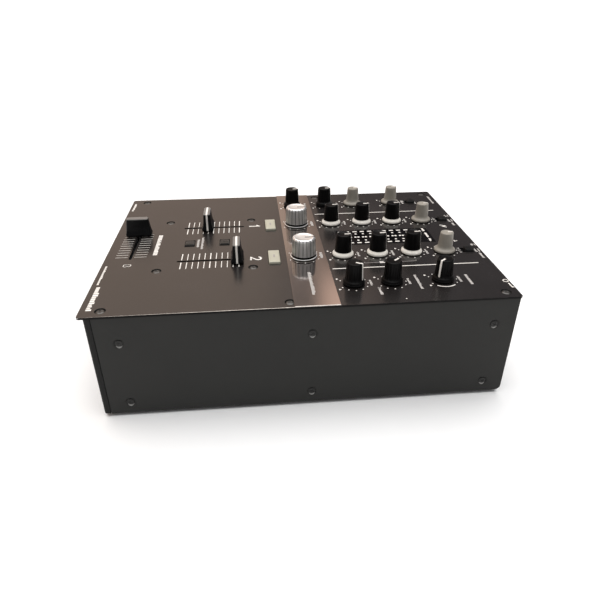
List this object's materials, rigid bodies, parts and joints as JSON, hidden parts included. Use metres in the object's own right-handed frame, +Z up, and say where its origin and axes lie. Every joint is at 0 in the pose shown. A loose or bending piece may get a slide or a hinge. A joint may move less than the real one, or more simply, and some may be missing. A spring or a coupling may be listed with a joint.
{
  "type": "dj mixer",
  "caption": "Two-channel DJ mixer: flat steel case, control deck with rotary knobs, channel faders, crossfader, cue buttons, slide selectors and level meter.",
  "frame": {"origin": "on the supporting surface under the middle of the overall box", "axes": "+X to the user's right, +Y to the rear where the sockets are, +Z up"},
  "size_m": [0.23, 0.32, 0.1078],
  "materials": {
    "deck_black": "satin",
    "mirror_steel": "polished, fine hairline",
    "case_black": "matt powder coat",
    "tray_steel": "plated",
    "screw_black": "black oxide",
    "bright_steel": "plated",
    "meter_smoke": "polished",
    "lamp_white": "satin",
    "board_green": "solder mask",
    "core_steel": "varnished",
    "pot_body": "moulded",
    "black_plastic": "moulded",
    "ribbon_grey": "sleeved",
    "foot_rubber": "matt",
    "contact_metal": "plated",
    "knob_black": "satin",
    "knob_grey": "satin",
    "knob_metal": "turned and polished",
    "cue_cream": "translucent satin"
  },
  "bodies": {
    "root": {"top_panel": "deck_black", "mirror_strip": "mirror_steel", "chassis_tray": "tray_steel", "front_panel": "case_black", "rear_panel": "case_black", "side_panel_right": "case_black", "side_panel_left": "case_black", "meter_window": "meter_smoke", "meter_lamps": "lamp_white", "control_board": "board_green", "fader_board": "board_green", "main_board": "board_green", "power_board": "board_green", "transformer": "core_steel", "rotary_pots": "pot_body", "pot_nuts": "bright_steel", "channel_fader_units": "tray_steel", "crossfader_unit": "tray_steel", "cue_switches": "black_plastic", "slide_switch_bodies": "black_plastic", "board_standoffs": "contact_metal", "ribbon_cables": "ribbon_grey", "deck_screws": "screw_black", "side_screws": "screw_black", "foot_screws": "bright_steel", "rubber_feet": "foot_rubber", "phono_sockets": "contact_metal", "output_jacks": "black_plastic", "ground_post": "bright_steel", "power_inlet": "black_plastic", "headphone_jacks": "black_plastic"},
    "headphone_level": {"headphone_level_knob": "knob_black"},
    "headphone_mix": {"headphone_mix_knob": "knob_black"},
    "mic_tone": {"mic_tone_knob": "knob_grey"},
    "mic_level": {"mic_level_knob": "knob_grey"},
    "ch1_filter": {"ch1_filter_knob": "knob_metal"},
    "ch1_low": {"ch1_low_knob": "knob_black"},
    "ch1_mid": {"ch1_mid_knob": "knob_black"},
    "ch1_high": {"ch1_high_knob": "knob_black"},
    "ch1_trim": {"ch1_trim_knob": "knob_grey"},
    "ch2_filter": {"ch2_filter_knob": "knob_metal"},
    "ch2_low": {"ch2_low_knob": "knob_black"},
    "ch2_mid": {"ch2_mid_knob": "knob_black"},
    "ch2_high": {"ch2_high_knob": "knob_black"},
    "ch2_trim": {"ch2_trim_knob": "knob_grey"},
    "balance": {"balance_knob": "knob_black"},
    "booth_level": {"booth_level_knob": "knob_black"},
    "master_level": {"master_level_knob": "knob_black"},
    "ch1_fader_slider": {"ch1_fader": "black_plastic"},
    "ch2_fader_slider": {"ch2_fader": "black_plastic"},
    "crossfader_slider": {"crossfader": "black_plastic"},
    "ch1_cue": {"ch1_cue_button": "cue_cream"},
    "ch2_cue": {"ch2_cue_button": "cue_cream"},
    "mic_selector_cap": {"mic_selector": "black_plastic"},
    "ch1_selector_cap": {"ch1_selector": "black_plastic"},
    "ch2_selector_cap": {"ch2_selector": "black_plastic"},
    "reverse_switch_cap": {"reverse_switch": "black_plastic"},
    "curve_switch_cap": {"curve_switch": "black_plastic"},
    "rocker": {"power_rocker": "black_plastic"}
  },
  "joints": [
    {"name": "headphone_level_turn", "type": "hinge", "parent": "root", "child": "headphone_level", "pos_m": [-0.0845, 0.0018, 0.0888], "axis": [0, 0, 1], "range_deg": [-150, 150]},
    {"name": "headphone_mix_turn", "type": "hinge", "parent": "root", "child": "headphone_mix", "pos_m": [-0.0845, 0.0343, 0.0888], "axis": [0, 0, 1], "range_deg": [-150, 150]},
    {"name": "mic_tone_turn", "type": "hinge", "parent": "root", "child": "mic_tone", "pos_m": [-0.0845, 0.0633, 0.0888], "axis": [0, 0, 1], "range_deg": [-150, 150]},
    {"name": "mic_level_turn", "type": "hinge", "parent": "root", "child": "mic_level", "pos_m": [-0.0845, 0.1025, 0.0888], "axis": [0, 0, 1], "range_deg": [-150, 150]},
    {"name": "ch1_filter_turn", "type": "hinge", "parent": "root", "child": "ch1_filter", "pos_m": [-0.0345, 0.0018, 0.0888], "axis": [0, 0, 1], "range_deg": [-150, 150]},
    {"name": "ch1_low_turn", "type": "hinge", "parent": "root", "child": "ch1_low", "pos_m": [-0.0345, 0.0343, 0.0888], "axis": [0, 0, 1], "range_deg": [-150, 150]},
    {"name": "ch1_mid_turn", "type": "hinge", "parent": "root", "child": "ch1_mid", "pos_m": [-0.0345, 0.0633, 0.0888], "axis": [0, 0, 1], "range_deg": [-150, 150]},
    {"name": "ch1_high_turn", "type": "hinge", "parent": "root", "child": "ch1_high", "pos_m": [-0.0345, 0.0922, 0.0888], "axis": [0, 0, 1], "range_deg": [-150, 150]},
    {"name": "ch1_trim_turn", "type": "hinge", "parent": "root", "child": "ch1_trim", "pos_m": [-0.0345, 0.1205, 0.0888], "axis": [0, 0, 1], "range_deg": [-150, 150]},
    {"name": "ch2_filter_turn", "type": "hinge", "parent": "root", "child": "ch2_filter", "pos_m": [0.0345, 0.0018, 0.0888], "axis": [0, 0, 1], "range_deg": [-150, 150]},
    {"name": "ch2_low_turn", "type": "hinge", "parent": "root", "child": "ch2_low", "pos_m": [0.0345, 0.0343, 0.0888], "axis": [0, 0, 1], "range_deg": [-150, 150]},
    {"name": "ch2_mid_turn", "type": "hinge", "parent": "root", "child": "ch2_mid", "pos_m": [0.0345, 0.0633, 0.0888], "axis": [0, 0, 1], "range_deg": [-150, 150]},
    {"name": "ch2_high_turn", "type": "hinge", "parent": "root", "child": "ch2_high", "pos_m": [0.0345, 0.0922, 0.0888], "axis": [0, 0, 1], "range_deg": [-150, 150]},
    {"name": "ch2_trim_turn", "type": "hinge", "parent": "root", "child": "ch2_trim", "pos_m": [0.0345, 0.1205, 0.0888], "axis": [0, 0, 1], "range_deg": [-150, 150]},
    {"name": "balance_turn", "type": "hinge", "parent": "root", "child": "balance", "pos_m": [0.0845, 0.0343, 0.0888], "axis": [0, 0, 1], "range_deg": [-117, 183]},
    {"name": "booth_level_turn", "type": "hinge", "parent": "root", "child": "booth_level", "pos_m": [0.0845, 0.0633, 0.0888], "axis": [0, 0, 1], "range_deg": [-187, 113]},
    {"name": "master_level_turn", "type": "hinge", "parent": "root", "child": "master_level", "pos_m": [0.0845, 0.1025, 0.0888], "axis": [0, 0, 1], "range_deg": [-12, 288]},
    {"name": "ch1_fader_slide", "type": "slide", "parent": "root", "child": "ch1_fader_slider", "axis": [0, 1, 0], "range_m": [-0.0171, 0.0279]},
    {"name": "ch2_fader_slide", "type": "slide", "parent": "root", "child": "ch2_fader_slider", "axis": [0, 1, 0], "range_m": [-0.0441, 0.0009]},
    {"name": "crossfader_slide", "type": "slide", "parent": "root", "child": "crossfader_slider", "axis": [1, 0, 0], "range_m": [0, 0.045]},
    {"name": "ch1_cue_press", "type": "slide", "parent": "root", "child": "ch1_cue", "axis": [0, 0, -1], "range_m": [0, 0.0012], "stiffness_N_per_m": 400, "springref_m": -0.0008},
    {"name": "ch2_cue_press", "type": "slide", "parent": "root", "child": "ch2_cue", "axis": [0, 0, -1], "range_m": [0, 0.0012], "stiffness_N_per_m": 400, "springref_m": -0.0008},
    {"name": "mic_selector_slide", "type": "slide", "parent": "root", "child": "mic_selector_cap", "axis": [0, -1, 0], "range_m": [0, 0.0024]},
    {"name": "ch1_selector_slide", "type": "slide", "parent": "root", "child": "ch1_selector_cap", "axis": [0, -1, 0], "range_m": [0, 0.0024]},
    {"name": "ch2_selector_slide", "type": "slide", "parent": "root", "child": "ch2_selector_cap", "axis": [0, -1, 0], "range_m": [0, 0.0024]},
    {"name": "reverse_switch_slide", "type": "slide", "parent": "root", "child": "reverse_switch_cap", "axis": [1, 0, 0], "range_m": [-0.0022, 0.0022]},
    {"name": "curve_switch_slide", "type": "slide", "parent": "root", "child": "curve_switch_cap", "axis": [1, 0, 0], "range_m": [-0.0022, 0.0022]},
    {"name": "power_rocker_tilt", "type": "hinge", "parent": "root", "child": "rocker", "pos_m": [-0.052, 0.1465, 0.0428], "axis": [1, 0, 0], "range_deg": [-16, 0]}
  ]
}
